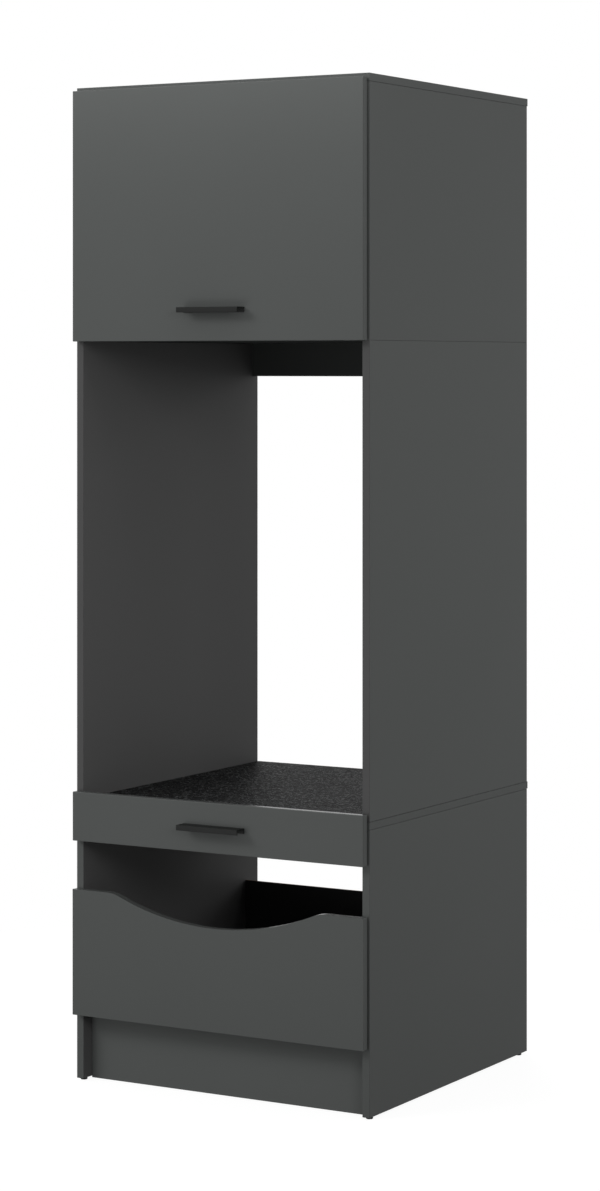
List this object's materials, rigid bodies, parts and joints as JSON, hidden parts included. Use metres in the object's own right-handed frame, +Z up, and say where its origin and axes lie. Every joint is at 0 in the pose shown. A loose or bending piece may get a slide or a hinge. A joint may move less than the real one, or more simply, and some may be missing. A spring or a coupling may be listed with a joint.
{
  "type": "washing machine cabinet",
  "caption": "Tall open housing for a washing machine, with a lift-up flap above the bay and a pull-out shelf and an open laundry drawer below its worktop.",
  "frame": {"origin": "on the floor, under the middle of the cabinet's box, handles included", "axes": "+Z up, -Y out of the front, +X to the right of someone who faces the front"},
  "size_m": [0.675, 0.7316, 2],
  "materials": {
    "graphite_board": "matt graphite melamine on chipboard, edges banded alike",
    "graphite_front": "matt graphite melamine fronts, smooth",
    "black_fibreboard": "fibreboard with a plain black face",
    "worktop_laminate": "black granite-look laminate with fine light specks",
    "black_handle": "matt black powder coat",
    "black_plastic": "plain black plastic",
    "zinc_steel": "bright zinc plating",
    "bright_steel": "ground and polished rod",
    "black_strut": "black painted tube"
  },
  "bodies": {
    "cabinet": {"base_side_left": "graphite_board", "base_side_right": "graphite_board", "base_bottom": "graphite_board", "plinth": "graphite_board", "base_rear_rail": "graphite_board", "base_back_board": "black_fibreboard", "worktop": "worktop_laminate", "bay_side_left": "graphite_board", "bay_side_right": "graphite_board", "bay_rear_rail": "graphite_board", "upper_side_left": "graphite_board", "upper_side_right": "graphite_board", "upper_bottom": "graphite_board", "upper_back": "black_fibreboard", "top_panel": "graphite_board", "upper_shelf": "graphite_board", "shelf_pin_front_left": "zinc_steel", "shelf_pin_front_right": "zinc_steel", "shelf_pin_rear_left": "zinc_steel", "shelf_pin_rear_right": "zinc_steel", "glide_front_left": "black_plastic", "glide_front_right": "black_plastic", "glide_rear_left": "black_plastic", "glide_rear_right": "black_plastic", "hinge_carcass_leaf_left": "zinc_steel", "hinge_carcass_leaf_right": "zinc_steel", "hinge_pin_left": "zinc_steel", "hinge_pin_right": "zinc_steel", "strut_bracket_side": "zinc_steel", "pullout_runner_outer_left": "zinc_steel", "pullout_runner_outer_right": "zinc_steel", "drawer_runner_outer_left": "zinc_steel", "drawer_runner_outer_right": "zinc_steel"},
    "flap": {"flap_door": "graphite_front", "flap_handle": "black_handle", "hinge_flap_leaf_left": "zinc_steel", "hinge_flap_leaf_right": "zinc_steel", "strut_bracket_flap": "zinc_steel"},
    "strut_tube": {"strut_tube": "black_strut"},
    "strut_rod": {"strut_rod": "bright_steel"},
    "pullout": {"pullout_front": "graphite_front", "pullout_handle": "black_handle", "pullout_board": "graphite_board", "pullout_cleat_left": "graphite_board", "pullout_cleat_right": "graphite_board", "pullout_runner_inner_left": "zinc_steel", "pullout_runner_inner_right": "zinc_steel"},
    "pullout_middle_left": {"pullout_runner_middle_left": "zinc_steel"},
    "pullout_middle_right": {"pullout_runner_middle_right": "zinc_steel"},
    "drawer": {"drawer_front": "graphite_front", "drawer_side_left": "graphite_board", "drawer_side_right": "graphite_board", "drawer_back": "graphite_board", "drawer_bottom": "black_fibreboard", "drawer_runner_inner_left": "zinc_steel", "drawer_runner_inner_right": "zinc_steel"},
    "drawer_middle_left": {"drawer_runner_middle_left": "zinc_steel"},
    "drawer_middle_right": {"drawer_runner_middle_right": "zinc_steel"}
  },
  "joints": [
    {"name": "flap_lift", "type": "hinge", "parent": "cabinet", "child": "flap", "pos_m": [0, -0.3195, 1.991], "axis": [-1, 0, 0], "range_deg": [0, 90]},
    {"name": "strut_swing", "type": "hinge", "parent": "cabinet", "child": "strut_tube", "pos_m": [0.3095, -0.2595, 1.719], "axis": [1, 0, 0], "range_deg": [0, 15.37]},
    {"name": "strut_stroke", "type": "slide", "parent": "strut_tube", "child": "strut_rod", "axis": [0, -0.2036, 0.9791], "range_m": [0, 0.0791]},
    {"name": "pullout_slide", "type": "slide", "parent": "cabinet", "child": "pullout", "axis": [0, -1, 0], "range_m": [0, 0.45]},
    {"name": "pullout_middle_slide_left", "type": "slide", "parent": "cabinet", "child": "pullout_middle_left", "axis": [0, -1, 0], "range_m": [0, 0.226]},
    {"name": "pullout_middle_slide_right", "type": "slide", "parent": "cabinet", "child": "pullout_middle_right", "axis": [0, -1, 0], "range_m": [0, 0.226]},
    {"name": "drawer_slide", "type": "slide", "parent": "cabinet", "child": "drawer", "axis": [0, -1, 0], "range_m": [0, 0.45]},
    {"name": "drawer_middle_slide_left", "type": "slide", "parent": "cabinet", "child": "drawer_middle_left", "axis": [0, -1, 0], "range_m": [0, 0.226]},
    {"name": "drawer_middle_slide_right", "type": "slide", "parent": "cabinet", "child": "drawer_middle_right", "axis": [0, -1, 0], "range_m": [0, 0.226]}
  ],
  "couplings": [
    {"joint": "strut_swing", "follows": "flap_lift", "ratio": 0.17065},
    {"joint": "strut_stroke", "follows": "flap_lift", "m_per_rad": 0.050303},
    {"joint": "pullout_middle_slide_left", "follows": "pullout_slide", "ratio": 0.5},
    {"joint": "pullout_middle_slide_right", "follows": "pullout_slide", "ratio": 0.5},
    {"joint": "drawer_middle_slide_left", "follows": "drawer_slide", "ratio": 0.5},
    {"joint": "drawer_middle_slide_right", "follows": "drawer_slide", "ratio": 0.5}
  ]
}
